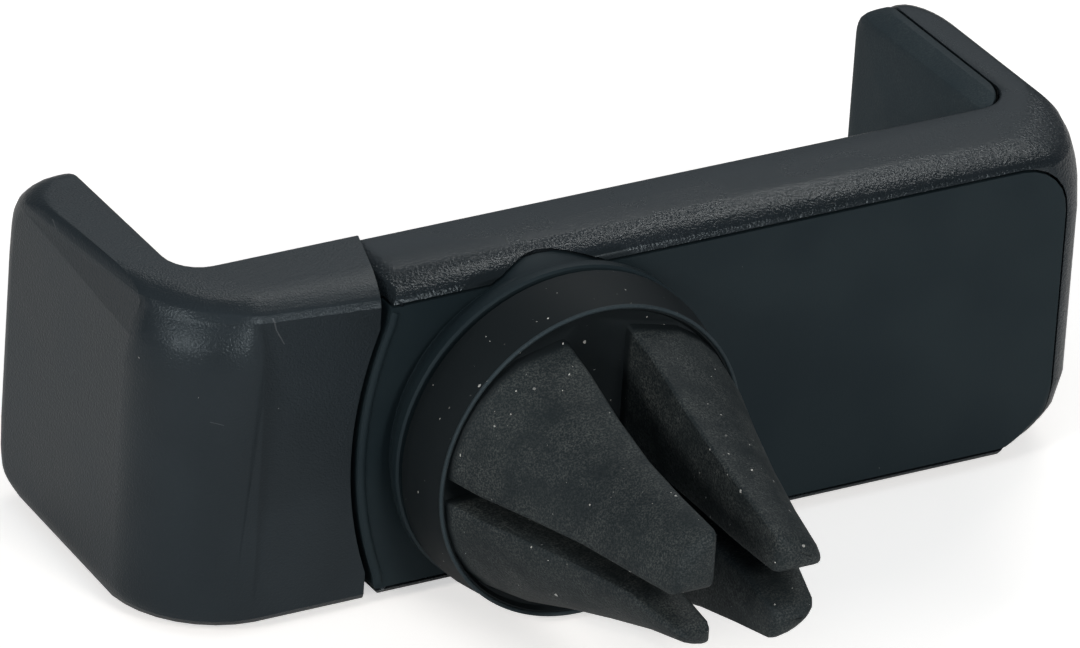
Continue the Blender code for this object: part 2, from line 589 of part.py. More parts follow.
def quarter_outline(radius, inset, edge):
    """A quarter disc with rounded corners, drawn in by inset, as points from its own centre."""
    inset = min(inset, 0.38 * radius)
    reach = math.sqrt((radius - inset) ** 2 - inset ** 2)
    steps = 7
    start = math.atan2(inset, reach)
    arc = []
    for i in range(steps + 1):
        angle = start + (math.pi / 2 - 2 * start) * i / steps
        arc.append(((radius - inset) * math.cos(angle), (radius - inset) * math.sin(angle)))
    rough = [(inset, inset), *arc]
    edge = min(edge, 0.4 * (reach - inset))
    points = []
    for index in (0, 1, len(rough) - 1):
        here = Vector(rough[index])
        before = (Vector(rough[index - 1]) - here).normalized()
        after = (Vector(rough[(index + 1) % len(rough)]) - here).normalized()
        first, last = here + before * edge, here + after * edge
        bend = []
        for i in range(4):
            t = i / 3
            bend.append((1 - t) ** 2 * first + 2 * t * (1 - t) * here + t * t * last)
        points.append(bend)
    middle = [Vector(p) for p in rough[2:-2]]
    return points[0] + points[1] + middle + points[2]


def petal(name, side_x, side_z, inset, start_y, tip_y, edge, nose):
    """A quarter of the tapering clip, one of four, with a rounded nose."""
    rings = []
    stations = [(start_y + (tip_y + nose - start_y) * i / 5, 0.0) for i in range(6)]
    for i in range(1, 4):
        angle = math.radians(80 * i / 3)
        stations.append((tip_y + nose - nose * math.sin(angle), nose * (1 - math.cos(angle))))
    for y, draw in stations:
        across, upright = petal_reach((side_x, side_z), y)
        radius = (across + upright) / 2
        outline = quarter_outline(radius, inset + draw, edge)
        low, high = min(v for u, v in outline), max(v for u, v in outline)
        opened = PETAL_LEAD[side_x, side_z] * MM * max(0.0, 1 - (y - CLIP_TIP_Y) / PETAL_LEAD_LENGTH)
        opened = min(opened, 0.6 * (high - low))
        ring = []
        for u, v in outline:
            v += opened * (high - v) / (high - low)
            ring.append(Vector((side_x * (WIDE_SLOT / 2 + u * across / radius), y,
                                side_z * (NARROW_SLOT / 2 + v * upright / radius))))
        rings.append(ring)
    return finish(name, loft(rings))


def petals(prefix, inset, start_y, tip_y, edge, nose):
    return [petal(f"{prefix}_{x}_{z}", x, z, inset, start_y, tip_y, edge, nose) for x in (-1, 1) for z in (-1, 1)]


def clip_core(material):
    """The hard insert: a disc and stem that turn in the cover, and a finger inside each rubber petal."""
    disc_start = COLLAR_FLOOR - CLEARANCE
    stem_end = COVER_THICKNESS + SPRING_WASHER_WIRE + CLEARANCE
    disc_end = DRUM_END_Y + RUBBER_WALL
    profile = [(STEM_RADIUS, stem_end), (STEM_RADIUS, disc_start), (CORE_DISC_RADIUS, disc_start),
               (CORE_DISC_RADIUS, disc_end + 1.6 * MM), (CORE_DISC_RADIUS - 0.8 * MM, disc_end + 0.8 * MM),
               (PETAL_BASE_RADIUS - 0.6 * MM, disc_end + 0.8 * MM)]
    core = turned("clip_core", profile, material=material)
    inset = RUBBER_WALL + SEAM
    join(core, *petals("finger", inset, disc_end + 1.5 * MM, FINGER_TIP_Y, 0.3 * MM, 0.3 * MM))
    cut(core, turned("screw_bore", [(SWIVEL_SCREW_RADIUS + 0.1 * MM, stem_end + 1 * MM),
                                    (SWIVEL_SCREW_RADIUS + 0.1 * MM, stem_end - SWIVEL_SCREW_LENGTH - 0.4 * MM)], steps=20))
    return core


def clip_sleeve(material):
    """The rubber over the core: a drum behind the collar, then four petals with the slots between them."""
    inner_rim = DRUM_END_RADIUS - RIM_WIDTH
    profile = [(DRUM_RADIUS - 0.3 * MM, DRUM_START_Y), (DRUM_RADIUS, DRUM_START_Y - 0.3 * MM),
               (DRUM_RADIUS, DRUM_START_Y - 1.2 * MM), (DRUM_END_RADIUS, DRUM_END_Y + 0.12 * MM),
               (DRUM_END_RADIUS - 0.12 * MM, DRUM_END_Y), (inner_rim + 0.1 * MM, DRUM_END_Y),
               (inner_rim - 0.1 * MM, DRUM_END_Y + RIM_DEPTH)]
    sleeve = turned("clip_sleeve", profile, steps=72, material=material)
    join(sleeve, *petals("petal", 0, DRUM_END_Y + 1.5 * MM, CLIP_TIP_Y, PETAL_EDGE, PETAL_NOSE))
    disc_end = DRUM_END_Y + RUBBER_WALL
    hollow = turned("sleeve_hollow", [(CORE_DISC_RADIUS + SEAM, 1 * MM), (CORE_DISC_RADIUS + SEAM, disc_end + 1.6 * MM - SEAM),
                                      (CORE_DISC_RADIUS - 0.8 * MM, disc_end + 0.8 * MM - SEAM)])
    cut(sleeve, hollow)
    cut(sleeve, *petals("finger_space", RUBBER_WALL, disc_end + 1.6 * MM, FINGER_TIP_Y - SEAM, 0.3 * MM, 0.3 * MM))
    return sleeve


def wave_washer(name, material):
    """A thin ring bent into three waves, pressed between the cover and the flat washer."""
    bm = bmesh.new()
    steps = 36
    inner, outer = STEM_BORE, WASHER_RADIUS
    start = COVER_THICKNESS + 0.12 * MM
    rings = []
    for i in range(steps):
        angle = math.tau * i / steps
        lift = 0.12 * MM * (1 - math.cos(3 * angle)) / 2
        section = ((inner, start), (outer, start), (outer, start + 0.3 * MM), (inner, start + 0.3 * MM))
        rings.append([bm.verts.new((r * math.cos(angle), y + lift, r * math.sin(angle))) for r, y in section])
    for here, there in zip(rings, rings[1:] + rings[:1]):
        for j in range(4):
            k = (j + 1) % 4
            bm.faces.new((here[j], here[k], there[k], there[j]))
    return finish(name, bm, material)


def swivel_hardware(steel):
    washer_y = COVER_THICKNESS + SPRING_WASHER_WIRE + CLEARANCE + 0.15 * MM
    wave_washer("wave_washer", steel)
    bore = SWIVEL_SCREW_RADIUS + 0.2 * MM
    washer = turned("flat_washer", [(WASHER_RADIUS, washer_y), (WASHER_RADIUS, washer_y + WASHER_THICKNESS)], material=steel)
    cut(washer, turned("washer_bore", [(bore, 0), (bore, 10 * MM)], steps=24))
    seat = washer_y + WASHER_THICKNESS + 0.15 * MM
    profile = [(SWIVEL_SCREW_RADIUS * 0.6, seat - SWIVEL_SCREW_LENGTH), (SWIVEL_SCREW_RADIUS, seat - SWIVEL_SCREW_LENGTH + 0.6 * MM),
               (SWIVEL_SCREW_RADIUS, seat), (SCREW_HEAD_RADIUS, seat), (SCREW_HEAD_RADIUS, seat + SCREW_HEAD_HEIGHT * 0.6),
               (SCREW_HEAD_RADIUS * 0.75, seat + SCREW_HEAD_HEIGHT)]
    screw = turned("swivel_screw", profile, steps=28, material=steel)
    for turn in (0, 90):
        cross = box(f"swivel_drive_{turn}", (-1.3 * MM, seat + 0.5 * MM, -0.25 * MM), (1.3 * MM, 10 * MM, 0.25 * MM))
        cross.rotation_euler.y = math.radians(turn)
        cut(screw, cross)


def stand_on_origin():
    """Parents every piece to one empty that brings the part's box to its own frame."""
    middle_x = (BODY_END_X + JAW_END_X) / 2
    middle_y = (JAW_REACH_Y + CLIP_TIP_Y) / 2
    holder = bpy.data.objects.new("holder", None)
    bpy.context.scene.collection.objects.link(holder)
    holder.location = (-middle_x, -middle_y, max(JAW_HALF_HEIGHT, COLLAR_RADIUS))
    for obj in bpy.data.objects:
        if obj is not holder and obj.parent is None:
            obj.parent = holder


def main():
    clear_scene()
    textured = plastic("textured_plastic", (0.016, 0.019, 0.023), 0.5)
    smooth = plastic("smooth_plastic", (0.013, 0.017, 0.021), 0.38)
    satin = plastic("satin_plastic", (0.014, 0.016, 0.019), 0.35)
    rubber = plastic("clip_rubber", (0.018, 0.021, 0.022), 0.75)
    lining = plastic("pad_rubber", (0.016, 0.021, 0.023), 0.65)
    inner = plastic("inner_plastic", (0.02, 0.02, 0.022), 0.45)
    steel = plastic("steel", (0.45, 0.45, 0.46), 0.3, 1.0)

    body_frame(textured)
    rear_cover(smooth)
    fixed_jaw_pad(lining)
    sliding_jaw(satin)
    sliding_jaw_pad(lining)
    jaw_front_plate(satin)
    slide_carriage(inner)
    tension_spring("tension_spring_upper", 1, steel)
    tension_spring("tension_spring_lower", -1, steel)
    clip_core(inner)
    clip_sleeve(rubber)
    swivel_hardware(steel)
    for number, (x, z) in enumerate(COVER_SCREWS, 1):
        small_screw(f"cover_screw_{number}", x, z, BAR_THICKNESS, 3.6 * MM, steel)
    for name, (x, z) in zip(("jaw_screw_upper", "jaw_screw_lower"), JAW_SCREWS):
        small_screw(name, x, z, JAW_FRONT_Y, 4.2 * MM, steel)
    stand_on_origin()


main()
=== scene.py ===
"""Air vent phone holder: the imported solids, dressed and lit.

Every length is in metres, in the part's own frame: it stands on Z = 0, the vent clip points along -Y and
the sliding jaw is at -X. at() takes millimetres from the clip's axis, the rear face and mid height.
"""

import json
import math

import bpy
from mathutils import Matrix, Vector

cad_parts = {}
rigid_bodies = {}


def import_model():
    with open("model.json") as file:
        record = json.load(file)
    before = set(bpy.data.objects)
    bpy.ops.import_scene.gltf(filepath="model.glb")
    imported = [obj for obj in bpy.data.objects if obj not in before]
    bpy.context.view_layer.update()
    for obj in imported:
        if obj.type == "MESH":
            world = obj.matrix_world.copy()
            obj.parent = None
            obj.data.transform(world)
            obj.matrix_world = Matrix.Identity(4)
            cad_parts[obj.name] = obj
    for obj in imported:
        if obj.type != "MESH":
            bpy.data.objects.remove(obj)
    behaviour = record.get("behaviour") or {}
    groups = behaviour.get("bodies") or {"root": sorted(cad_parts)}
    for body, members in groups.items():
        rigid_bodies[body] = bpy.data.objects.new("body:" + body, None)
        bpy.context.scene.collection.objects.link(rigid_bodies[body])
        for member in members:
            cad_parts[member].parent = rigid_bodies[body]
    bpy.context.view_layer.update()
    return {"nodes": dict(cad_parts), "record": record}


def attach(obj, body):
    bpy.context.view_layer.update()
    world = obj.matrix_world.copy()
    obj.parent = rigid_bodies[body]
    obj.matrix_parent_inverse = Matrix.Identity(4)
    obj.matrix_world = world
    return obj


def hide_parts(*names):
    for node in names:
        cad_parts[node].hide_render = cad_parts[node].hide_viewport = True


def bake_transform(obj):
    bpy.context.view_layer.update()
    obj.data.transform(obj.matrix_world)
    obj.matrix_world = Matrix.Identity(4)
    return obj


MM = 0.001
CLIP_AXIS = Vector((-7.7, 1.1, 12.2)) * MM

# The body's left end: a bulging line between two rounded corners (mm)
END_X = -12.3
END_BULGE = 1.8
END_HALF_HEIGHT = 9.7
END_CORNER = 2.3
END_SLOPE = 0.37

# The rear shoulder that both mouldings share: a quarter of an ellipse (mm)
SHOULDER_START = 10.8
SHOULDER_HEIGHT = 1.2
SHOULDER_DEPTH = 4.1

# The bead along the body's left end (mm)
LIP_RADIUS = 0.42
LIP_INSET = 0.44
LIP_SUNK = 0.26
LIP_END = 1.82

# The jaw's upper rear corner, which turns over (mm)
CORNER_X = -21.5
CORNER_Y = 7.0
CORNER_START = 6.0
CORNER_FALL = 0.105
CORNER_REACH_X = 6
CORNER_REACH_Y = 7
CORNER_INNER = 2.6
CORNER_BLEND = 3.9
JAW_END_X = -12.9

# The springs: their place, the wire and the coils (mm)
SPRING_HEIGHT = 5.8
SPRING_DEPTH = 3.46
WIRE_RADIUS = 0.2
COIL_RADIUS = 1.25
LOOP_RADIUS = 1.06
COIL_START_X = -6.2
COIL_LENGTH = 40.0
COIL_TURNS = 42
COIL_STEPS = 16
LOOP_STEPS = 24
CARRIAGE_POST_X = -8.4
BODY_POST_X = 36.0

# The jaw's scratches: from, to, half width (mm) and the plane that they lie in
ACROSS_REAR = (1, 0, 1)
ACROSS_SIDE = (0, 1, 1)
SCRATCHES = (
    ((-28.0, 18.5, 11.75), (-28.2, 17.8, 11.35), 0.07, ACROSS_SIDE),
    ((-20.5, 0.1, 11.1), (-20.3, 0.0, 10.3), 0.07, ACROSS_REAR),
    ((-20.3, 0.0, 10.3), (-19.7, 0.0, 9.2), 0.06, ACROSS_REAR),
    ((-25.0, 1.0, 4.4), (-24.2, 1.0, 4.2), 0.04, ACROSS_REAR),
    ((-28.5, 14.6, 1.9), (-28.5, 14.0, 2.6), 0.04, ACROSS_SIDE),
)

# Tones of the lamps, and of what the black mouldings mirror
WARM_LAMP = (1, 0.93, 0.86)
COOL_SHEEN = (0.72, 0.88, 1.0)

# Colours of what lies on the surfaces
DUST_VEIL = (0.16, 0.175, 0.17)
DUST_SPECK = (0.62, 0.64, 0.63)
LINT_GREY = (0.3, 0.31, 0.31)
SCRATCH_GREY = (0.1, 0.11, 0.12)


def at(x, y, z):
    """A point given in millimetres from the clip's axis, the rear face and mid height."""
    return CLIP_AXIS + Vector((x, y, z)) * MM


# Selecting and editing

def choose(obj):
    """Makes this the only selected object."""
    bpy.ops.object.select_all(action="DESELECT")
    obj.select_set(True)
    bpy.context.view_layer.objects.active = obj


def open_up(obj):
    choose(obj)
    bpy.ops.object.mode_set(mode="EDIT")
    bpy.ops.mesh.select_all(action="DESELECT")


def close_up():
    bpy.ops.object.mode_set(mode="OBJECT")


def apply_modifier(obj, kind, **settings):
    choose(obj)
    modifier = obj.modifiers.new("made", kind)
    for key, value in settings.items():
        setattr(modifier, key, value)
    bpy.ops.object.modifier_apply(modifier=modifier.name)


# Materials

def new_group(name, inputs, outputs, places=()):
    """An empty node group with number inputs, vector inputs called places, and number outputs."""
    tree = bpy.data.node_groups.new(name, "ShaderNodeTree")
    for label, value in inputs:
        socket = tree.interface.new_socket(label, in_out="INPUT", socket_type="NodeSocketFloat")
        socket.default_value = value
    for label in places:
        tree.interface.new_socket(label, in_out="INPUT", socket_type="NodeSocketVector")
    for label in outputs:
        tree.interface.new_socket(label, in_out="OUTPUT", socket_type="NodeSocketFloat")
    return tree, tree.nodes.new("NodeGroupInput").outputs, tree.nodes.new("NodeGroupOutput").inputs


def put(tree, kind, **values):
    """A node with some of its inputs filled: a socket is linked, anything else is the input's own value.

    i0, i1 and so on name an input by its number, and a name that starts with set_ is the node's own setting.
    """
    node = tree.nodes.new(kind)
    for key in [k for k in values if k.startswith("set_")]:
        setattr(node, key[4:], values.pop(key))
    for key, value in values.items():
        index = int(key[1:]) if key[0] == "i" and key[1:].isdigit() else key.replace("_", " ")
        socket = node.inputs[index]
        if isinstance(value, bpy.types.NodeSocket):
            tree.links.new(value, socket)
        else:
            socket.default_value = value
    return node


def math_node(tree, operation, first, second=0.0, clamp=False):
    node = put(tree, "ShaderNodeMath", set_operation=operation, set_use_clamp=clamp, i0=first, i1=second)
    return node.outputs[0]


def vector_node(tree, operation, **values):
    return put(tree, "ShaderNodeVectorMath", set_operation=operation, **values).outputs


def ramp(tree, value, low, high, to_low=0.0, to_high=1.0):
    """A smooth change from to_low to to_high while the value goes from low to high."""
    node = put(tree, "ShaderNodeMapRange", Value=value, From_Min=low, From_Max=high, To_Min=to_low,
               To_Max=to_high)
    node.interpolation_type = "SMOOTHSTEP"
    return node.outputs["Result"]


def place(tree, scale=(1, 1, 1), turn=(0, 0, 0)):
    """Object coordinates, stretched and turned."""
    coordinates = tree.nodes.new("ShaderNodeTexCoord").outputs["Object"]
    return put(tree, "ShaderNodeMapping", Vector=coordinates, Scale=scale, Rotation=turn).outputs["Vector"]


def moulding_grain():
    """Spark-eroded grain: close rounded bumps of about this number to the metre, with ridges between them."""
    tree, given, out = new_group("moulding_grain", [("Scale", 4500.0)], ["Height", "Peaks"])
    spot = place(tree)
    rough = put(tree, "ShaderNodeTexNoise", Vector=spot, Scale=given["Scale"], Detail=2.0, Roughness=0.65)
    cells = put(tree, "ShaderNodeTexVoronoi", Vector=spot, Scale=given["Scale"], set_feature="SMOOTH_F1")
    pits = math_node(tree, "MULTIPLY", cells.outputs["Distance"], 0.6)
    mixed = math_node(tree, "SUBTRACT", rough.outputs["Fac"], pits)
    tree.links.new(mixed, out["Height"])
    tree.links.new(ramp(tree, mixed, 0.1, 0.35), out["Peaks"])
    return tree


def settled_dust():
    """A mottled veil of fine dust in clusters, separate light specks, and short fibres of lint."""
    tree, given, out = new_group("settled_dust", [("Specks", 0.1), ("Size", 0.12), ("Lint", 0.02)],
                                 ["Veil", "Specks", "Lint"])
    spot = place(tree)
    fine = put(tree, "ShaderNodeTexNoise", Vector=spot, Scale=7500.0, Detail=3.0, Roughness=0.7)
    clusters = put(tree, "ShaderNodeTexNoise", Vector=spot, Scale=420.0, Detail=3.0, Roughness=0.6)
    veil = math_node(tree, "MULTIPLY", ramp(tree, fine.outputs["Fac"], 0.4, 0.68),
                     ramp(tree, clusters.outputs["Fac"], 0.15, 0.8))
    tree.links.new(veil, out["Veil"])
    bent = put(tree, "ShaderNodeTexNoise", Vector=spot, Scale=5200.0, Detail=1.0)
    moved = vector_node(tree, "MULTIPLY_ADD", i0=bent.outputs["Color"], i1=(0.0002, 0.0002, 0.0002), i2=spot)
    found = None
    for scale in (2100.0, 1150.0):
        cells = put(tree, "ShaderNodeTexVoronoi", Vector=moved[0], Scale=scale)
        lots = put(tree, "ShaderNodeSeparateColor", Color=cells.outputs["Color"])
        chosen = math_node(tree, "LESS_THAN", lots.outputs[0],
                           math_node(tree, "MULTIPLY", given["Specks"], clusters.outputs["Fac"]))
        size = math_node(tree, "MULTIPLY", given["Size"], lots.outputs[1])
        near = math_node(tree, "LESS_THAN", cells.outputs["Distance"], size)
        speck = math_node(tree, "MULTIPLY", math_node(tree, "MULTIPLY", chosen, near), lots.outputs[2])
        found = speck if found is None else math_node(tree, "MAXIMUM", found, speck)
    tree.links.new(found, out["Specks"])
    fibres = None
    for turn, stretch in (((0.2, 0.7, 0.4), (260, 3600, 3600)), ((0.9, 0.1, 1.2), (3600, 3600, 300))):
        cells = put(tree, "ShaderNodeTexVoronoi", Vector=place(tree, stretch, turn), Scale=1.0)
        lots = put(tree, "ShaderNodeSeparateColor", Color=cells.outputs["Color"])
        chosen = math_node(tree, "LESS_THAN", lots.outputs[0], given["Lint"])
        near = math_node(tree, "LESS_THAN", cells.outputs["Distance"], 0.13)
        fibre = math_node(tree, "MULTIPLY", chosen, near)
        fibres = fibre if fibres is None else math_node(tree, "MAXIMUM", fibres, fibre)
    tree.links.new(fibres, out["Lint"])
    return tree


def handling_marks():
    """Broad faint patches where hands have polished the surface."""
    tree, given, out = new_group("handling_marks", [("Scale", 140.0)], ["Patches"])
    broad = put(tree, "ShaderNodeTexNoise", Vector=place(tree), Scale=given["Scale"], Detail=1.0,
                Roughness=0.5)
    tree.links.new(ramp(tree, broad.outputs["Fac"], 0.32, 0.68), out["Patches"])
    return tree


def single_scratch():
    """One hairline scratch, seen along one axis: from a point, along a vector, of a wandering half width."""
    tree, given, out = new_group("single_scratch", [("Width", 0.00004)], ["Mask"],
                                 ["Start", "Along", "Plane"])
    spot = vector_node(tree, "SUBTRACT", i0=place(tree), i1=given["Start"])[0]
    spot = vector_node(tree, "MULTIPLY", i0=spot, i1=given["Plane"])[0]
    reach = vector_node(tree, "DOT_PRODUCT", i0=spot, i1=given["Along"])["Value"]
    whole = vector_node(tree, "DOT_PRODUCT", i0=given["Along"], i1=given["Along"])["Value"]
    share = math_node(tree, "DIVIDE", reach, whole, clamp=True)
    nearest = vector_node(tree, "SCALE", i0=given["Along"], Scale=share)[0]
    off = vector_node(tree, "DISTANCE", i0=spot, i1=nearest)["Value"]
    wander = put(tree, "ShaderNodeTexNoise", Vector=place(tree), Scale=1500.0, Detail=1.0).outputs["Fac"]
    width = math_node(tree, "MULTIPLY", given["Width"], wander)
    tree.links.new(math_node(tree, "LESS_THAN", off, width), out["Mask"])
    return tree


def place_group(tree, group, **values):
    node = tree.nodes.new("ShaderNodeGroup")
    node.node_tree = group
    for key, value in values.items():
        node.inputs[key].default_value = value
    return node.outputs


def start_material(name, roughness, specular, metallic=0.0, sheen=(1, 1, 1)):
    material = bpy.data.materials.new(name)
    material.use_nodes = True
    shader = material.node_tree.nodes["Principled BSDF"]
    shader.inputs["Roughness"].default_value = roughness
    shader.inputs["Specular IOR Level"].default_value = specular
    shader.inputs["Specular Tint"].default_value = (*sheen, 1)
    shader.inputs["Metallic"].default_value = metallic
    return material, material.node_tree, shader


def blend_colour(tree, share, low, high):
    """A colour between low and high, each one a socket or three numbers."""
    node = put(tree, "ShaderNodeMix", set_data_type="RGBA")
    for index, value in ((0, share), (6, low), (7, high)):
        if isinstance(value, bpy.types.NodeSocket):
            tree.links.new(value, node.inputs[index])
        else:
            node.inputs[index].default_value = value if index == 0 else (*value, 1)
    return node.outputs[2]


def bump(tree, shader, height, distance, strength=1.0):
    polished_glint_peaks = put(tree, "ShaderNodeBump", Height=height, Distance=distance, Strength=strength)
    tree.links.new(polished_glint_peaks.outputs["Normal"], shader.inputs["Normal"])


def from_clip(tree):
    """Where a point is, from the clip's axis, the rear face and mid height."""
    return vector_node(tree, "SUBTRACT", i0=place(tree), i1=tuple(CLIP_AXIS))[0]


def from_axis(tree):
    """How far a point is from the clip's axis."""
    flat = vector_node(tree, "MULTIPLY", i0=from_clip(tree), i1=(1, 0, 1))[0]
    return vector_node(tree, "LENGTH", i0=flat)["Value"]


def along_clip(tree):
    """How far a point is in front of the rear face: less than nothing along the clip."""
    return put(tree, "ShaderNodeSeparateXYZ", Vector=from_clip(tree)).outputs["Y"]


def grained(tree):
    """Everywhere but round the collar on the rear, and fainter on the flat top and underside."""
    clear = math_node(tree, "MAXIMUM", ramp(tree, from_axis(tree), 0.0126, 0.013),
                      ramp(tree, along_clip(tree), 0.0004, 0.0009))
    up = put(tree, "ShaderNodeSeparateXYZ", Vector=from_clip(tree)).outputs["Z"]
    height = math_node(tree, "ABSOLUTE", up)
    return math_node(tree, "MULTIPLY", clear, ramp(tree, height, 0.01184, 0.01198, 1.0, 0.3))


def on_petals(tree):
    """Past the drum's front rim."""
    return ramp(tree, along_clip(tree), -0.0069, -0.0075)


def black_moulding(name, dark, light, roughness, specular, grain, depth, veil=0.0, specks=(0.0, 0.1),
                   lint=0.0, scratches=(), zone=None, calm=0.4, peak_polish_and_glint=0.0):
    """A black moulded surface: patchy colour, grain, dust, lint and single scratches.

    zone gives a mask, from 0 to 1, of where the grain and the veil of dust lie. Elsewhere the colour is the
    dark one times calm. The last setting gives how far the grain's peaks are polished, and so glossier, and
    how
    far their colour is lightened: that lighter colour is a painted glint standing in for the grain's sparkle
    in a highlight. It needs a zone.
    """
    material, tree, shader = start_material(name, roughness, specular, sheen=COOL_SHEEN)
    patches = place_group(tree, MARKS, Scale=140.0)["Patches"]
    pits = place_group(tree, GRAIN, Scale=grain)
    dust = place_group(tree, DUST, Specks=specks[0], Size=specks[1], Lint=lint)
    where = zone(tree) if zone else None
    colour = blend_colour(tree, patches, dark, light)
    if peak_polish_and_glint:
        # Painted glint: the grain's peaks get a lighter colour, standing in for their sparkle in a highlight;
        # their lower roughness below is real polish
        polished_glint_peaks = math_node(tree, "MULTIPLY", pits["Peaks"], math_node(tree, "MULTIPLY", where, peak_polish_and_glint))
        colour = blend_colour(tree, polished_glint_peaks, colour, tuple(c * 3.2 for c in light))
    if where:
        colour = blend_colour(tree, where, tuple(c * calm for c in dark), colour)
    if veil:
        share = math_node(tree, "MULTIPLY", dust["Veil"], veil)
        if where:
            share = math_node(tree, "MULTIPLY", share, where)
        colour = blend_colour(tree, share, colour, DUST_VEIL)
    for begin, finish, width, plane in scratches:
        along = Vector([a * b for a, b in zip(at(*finish) - at(*begin), plane)])
        mark = place_group(tree, SCRATCH, Start=at(*begin), Along=along, Plane=plane, Width=width * MM)
        colour = blend_colour(tree, math_node(tree, "MULTIPLY", mark["Mask"], 0.6), colour, SCRATCH_GREY)
    if specks[0]:
        colour = blend_colour(tree, dust["Specks"], colour, DUST_SPECK)
    if lint:
        colour = blend_colour(tree, math_node(tree, "MULTIPLY", dust["Lint"], 0.55), colour, LINT_GREY)
    tree.links.new(colour, shader.inputs["Base Color"])
    polish = ramp(tree, patches, 0.0, 1.0, roughness - 0.02, roughness + 0.02)
    uneven = math_node(tree, "ADD", polish, math_node(tree, "MULTIPLY", dust["Specks"], 0.4), clamp=True)
    if peak_polish_and_glint:
        uneven = math_node(tree, "SUBTRACT", uneven, math_node(tree, "MULTIPLY", polished_glint_peaks, 0.3), clamp=True)
    tree.links.new(uneven, shader.inputs["Roughness"])
    height = pits["Height"]
    if where:
        height = math_node(tree, "MULTIPLY", height, where)
    bump(tree, shader, height, depth)
    return material


def metal(name, colour, roughness, stretch):
    """Drawn or turned steel with faint lines along it."""
    material, tree, shader = start_material(name, roughness, 0.5, 1.0)
    drawn = put(tree, "ShaderNodeTexNoise", Vector=place(tree, stretch), Scale=1.0, Detail=2.0)
    lines = drawn.outputs["Fac"]
    shaded = blend_colour(tree, lines, tuple(c * 0.8 for c in colour), colour)
    tree.links.new(shaded, shader.inputs["Base Color"])
    polish = ramp(tree, lines, 0.2, 0.8, roughness - 0.08, roughness + 0.08)
    tree.links.new(polish, shader.inputs["Roughness"])
    bump(tree, shader, lines, 0.00002, 0.5)
    return material


# Stage: floor, lamps and camera

def build_floor():
    """A pale floor whose shadow stays, lifted a little where the camera or a reflection sees it."""
    bpy.ops.mesh.primitive_plane_add(size=6, location=(0, 0, 0))
    floor = bpy.context.object
    floor.name = "floor"
    material, tree, shader = start_material("pale_floor", 0.9, 0.1)
    shader.inputs["Base Color"].default_value = (0.86, 0.86, 0.86, 1)
    path = tree.nodes.new("ShaderNodeLightPath").outputs
    mirrored = math_node(tree, "MAXIMUM", path["Is Glossy Ray"], path["Is Transmission Ray"])
    seen = math_node(tree, "MULTIPLY", path["Is Camera Ray"], 0.56)
    seen = math_node(tree, "MAXIMUM", seen, math_node(tree, "MULTIPLY", mirrored, 0.03))
    glow = put(tree, "ShaderNodeEmission", Color=(1, 1, 1, 1), Strength=seen)
    both = put(tree, "ShaderNodeAddShader", i0=shader.outputs[0], i1=glow.outputs[0])
    tree.links.new(both.outputs[0], tree.nodes["Material Output"].inputs["Surface"])
    floor.data.materials.append(material)


def softbox(name, toward, distance, size, watts, colour):
    """A soft lamp in this direction from the holder, facing it."""
    lamp = bpy.data.lights.new(name, "AREA")
    lamp.color = colour
    lamp.shape = "RECTANGLE"
    lamp.size, lamp.size_y = size
    lamp.energy = watts
    obj = bpy.data.objects.new(name, lamp)
    bpy.context.scene.collection.objects.link(obj)
    direction = Vector(toward).normalized()
    obj.location = direction * distance
    obj.rotation_euler = (-direction).to_track_quat("-Z", "Y").to_euler()


def build_lamps():
    """A dim cool room, a panel above, and what each round edge of the real one mirrors."""
    world = bpy.data.worlds.new("studio")
    world.use_nodes = True
    background = world.node_tree.nodes["Background"]
    background.inputs["Color"].default_value = (0.84, 0.93, 1, 1)
    background.inputs["Strength"].default_value = 0.18
    bpy.context.scene.world = world
    softbox("overhead_panel", (-0.2, -0.3, 1), 0.9, (0.6, 0.6), 0.8, (0.9, 0.96, 1))
    softbox("rear_panel", (0.44, 0.75, 0.46), 0.8, (0.4, 0.26), 0.13, (0.88, 0.95, 1))
    softbox("rear_strip", (0.44, 0.46, 0.75), 0.7, (0.32, 0.06), 0.85, WARM_LAMP)
    softbox("left_lamp", (-0.825, -0.293, 0.48), 0.7, (0.15, 0.15), 1.8, WARM_LAMP)
    softbox("right_lamp", (0.04, -0.87, 0.49), 0.7, (0.17, 0.17), 1.85, WARM_LAMP)


def build_camera():
    """A long lens a metre away, fitted to the straight edges and the round rims of the real one."""
    azimuth, elevation, roll = math.radians(-31.69), math.radians(28.34), math.radians(3.96)
    distance, frame_width = 1.0, 0.07272
    rise, aside = 6.152 * MM, 0.034 * MM
    back = Vector((math.sin(azimuth) * math.cos(elevation), -math.cos(azimuth) * math.cos(elevation),
                   math.sin(elevation)))
    level = Vector((math.cos(azimuth), math.sin(azimuth), 0))
    upright = back.cross(level)
    right = level * math.cos(roll) + upright * math.sin(roll)
    up = upright * math.cos(roll) - level * math.sin(roll)
    lens = bpy.data.cameras.new("camera")
    lens.sensor_width = 36
    lens.lens = 36 * distance / frame_width
    lens.clip_end = 20
    camera = bpy.data.objects.new("camera", lens)
    bpy.context.scene.collection.objects.link(camera)
    spot = CLIP_AXIS + back * distance
    backward = (spot - (CLIP_AXIS + up * rise + right * aside)).normalized()
    across = (right - backward * right.dot(backward)).normalized()
    turn = Matrix((across, backward.cross(across), backward)).transposed()
    camera.matrix_world = Matrix.Translation(spot) @ turn.to_4x4()
    bpy.context.scene.camera = camera


# Pieces

def settle(piece, material, node, angle=32):
    """Shades a finished piece, gives it its material and lets it ride where the node does."""
    choose(piece)
    bpy.ops.object.shade_smooth_by_angle(angle=math.radians(angle))
    piece.data.materials.clear()
    piece.data.materials.append(material)
    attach(piece, BODY_OF[node])


